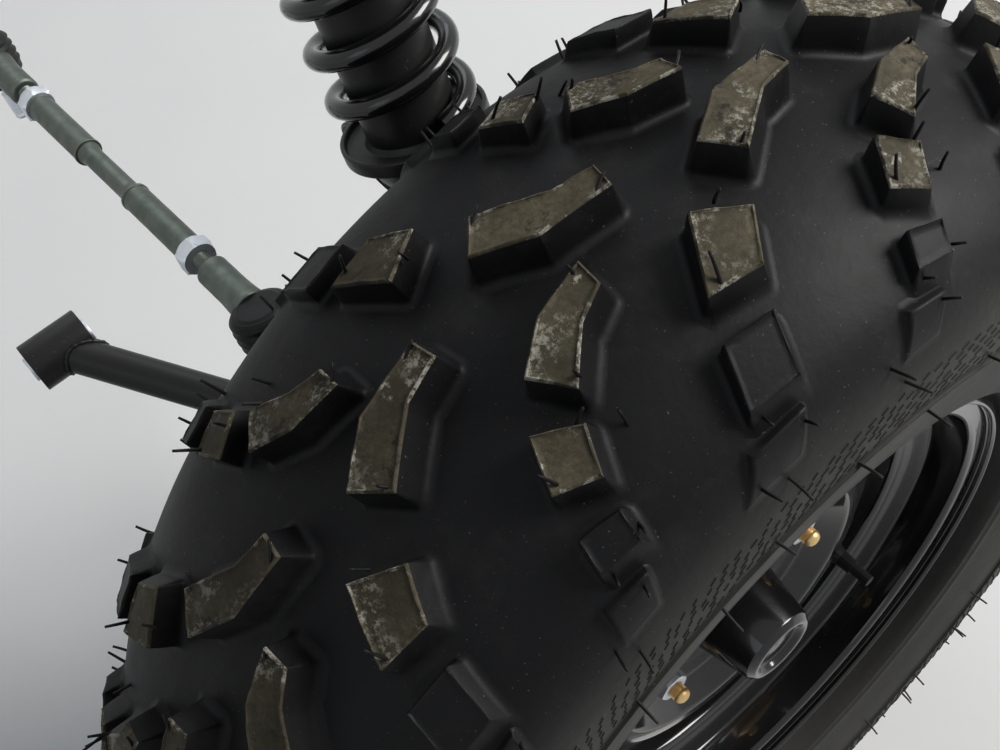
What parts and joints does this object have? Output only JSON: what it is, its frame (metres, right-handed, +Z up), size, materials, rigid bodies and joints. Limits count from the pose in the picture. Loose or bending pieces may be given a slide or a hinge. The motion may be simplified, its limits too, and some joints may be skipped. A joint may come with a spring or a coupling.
{
  "type": "quad bike front wheel corner",
  "caption": "Left front wheel of a utility quad bike with knobby off-road tyre, deep-dish steel rim, hub and brake, steering knuckle, strut, lower A-arm and tie rod.",
  "frame": {"origin": "middle of the lower arm's pivot axis, where the frame carries the corner", "axes": "+Z up, the wheel's outer face looks along -Y, the front of the vehicle is -X, +X runs along the lower arm's pivot axis"},
  "size_m": [0.6408, 0.6035, 0.7708],
  "materials": {
    "tyre": "moulded rubber, matt, lug tops scuffed",
    "black_gloss": "gloss black",
    "black_paint": "satin black",
    "machined_steel": "machined",
    "yellow_zinc": "yellow zinc plate",
    "zinc": "bright zinc plate",
    "rubber": "matt",
    "cast_iron": "painted black",
    "cast_aluminium": "cast",
    "pad": "matt",
    "bush_plastic": "moulded",
    "green_zinc": "grey-green zinc plate"
  },
  "bodies": {
    "suspension": {"lower_arm_yoke": "black_paint", "lower_arm_front_tube": "black_paint", "lower_arm_rear_tube": "black_paint", "lower_arm_cross_tube": "black_paint", "lower_arm_bushes": "bush_plastic", "lower_arm_sleeves": "zinc", "lower_ball_boot": "rubber", "strut_rod": "machined_steel", "strut_top_rubber": "rubber", "strut_top_plate": "black_paint"},
    "knuckle": {"knuckle": "cast_iron", "pinch_bolts": "zinc", "spindle_nut": "zinc", "caliper": "cast_aluminium", "brake_pads": "pad", "steering_arm": "cast_iron", "strut_tube": "black_paint", "strut_spring": "black_gloss", "strut_top_seat": "black_paint", "ball_studs": "zinc", "ball_stud_nuts": "zinc"},
    "wheel": {"tyre": "tyre", "rim": "black_gloss", "hub": "machined_steel", "bearings": "machined_steel", "brake_disc": "machined_steel", "hub_cap": "black_gloss", "wheel_studs": "yellow_zinc", "wheel_nuts": "zinc", "valve_stem": "rubber"},
    "tie_rod": {"tie_rod_tube": "green_zinc", "tie_rod_ends": "green_zinc", "tie_rod_boots": "rubber", "tie_rod_nuts_and_stud": "zinc"}
  },
  "joints": [
    {"name": "steer", "type": "hinge", "parent": "suspension", "child": "knuckle", "pos_m": [0.0465, -0.31, -0.0715], "axis": [0.0252, 0.2772, 0.9605], "range_deg": [-35, 35]},
    {"name": "wheel_spin", "type": "hinge", "parent": "knuckle", "child": "wheel", "pos_m": [0.0485, -0.4, 0.0035], "axis": [0, 1, 0], "continuous": true},
    {"name": "tie_rod_swing", "type": "hinge", "parent": "knuckle", "child": "tie_rod", "pos_m": [-0.0565, -0.2305, 0.1625], "axis": [0.0252, 0.2772, 0.9605], "range_deg": [-35, 35]}
  ],
  "couplings": [
    {"joint": "tie_rod_swing", "follows": "steer", "ratio": -1}
  ]
}
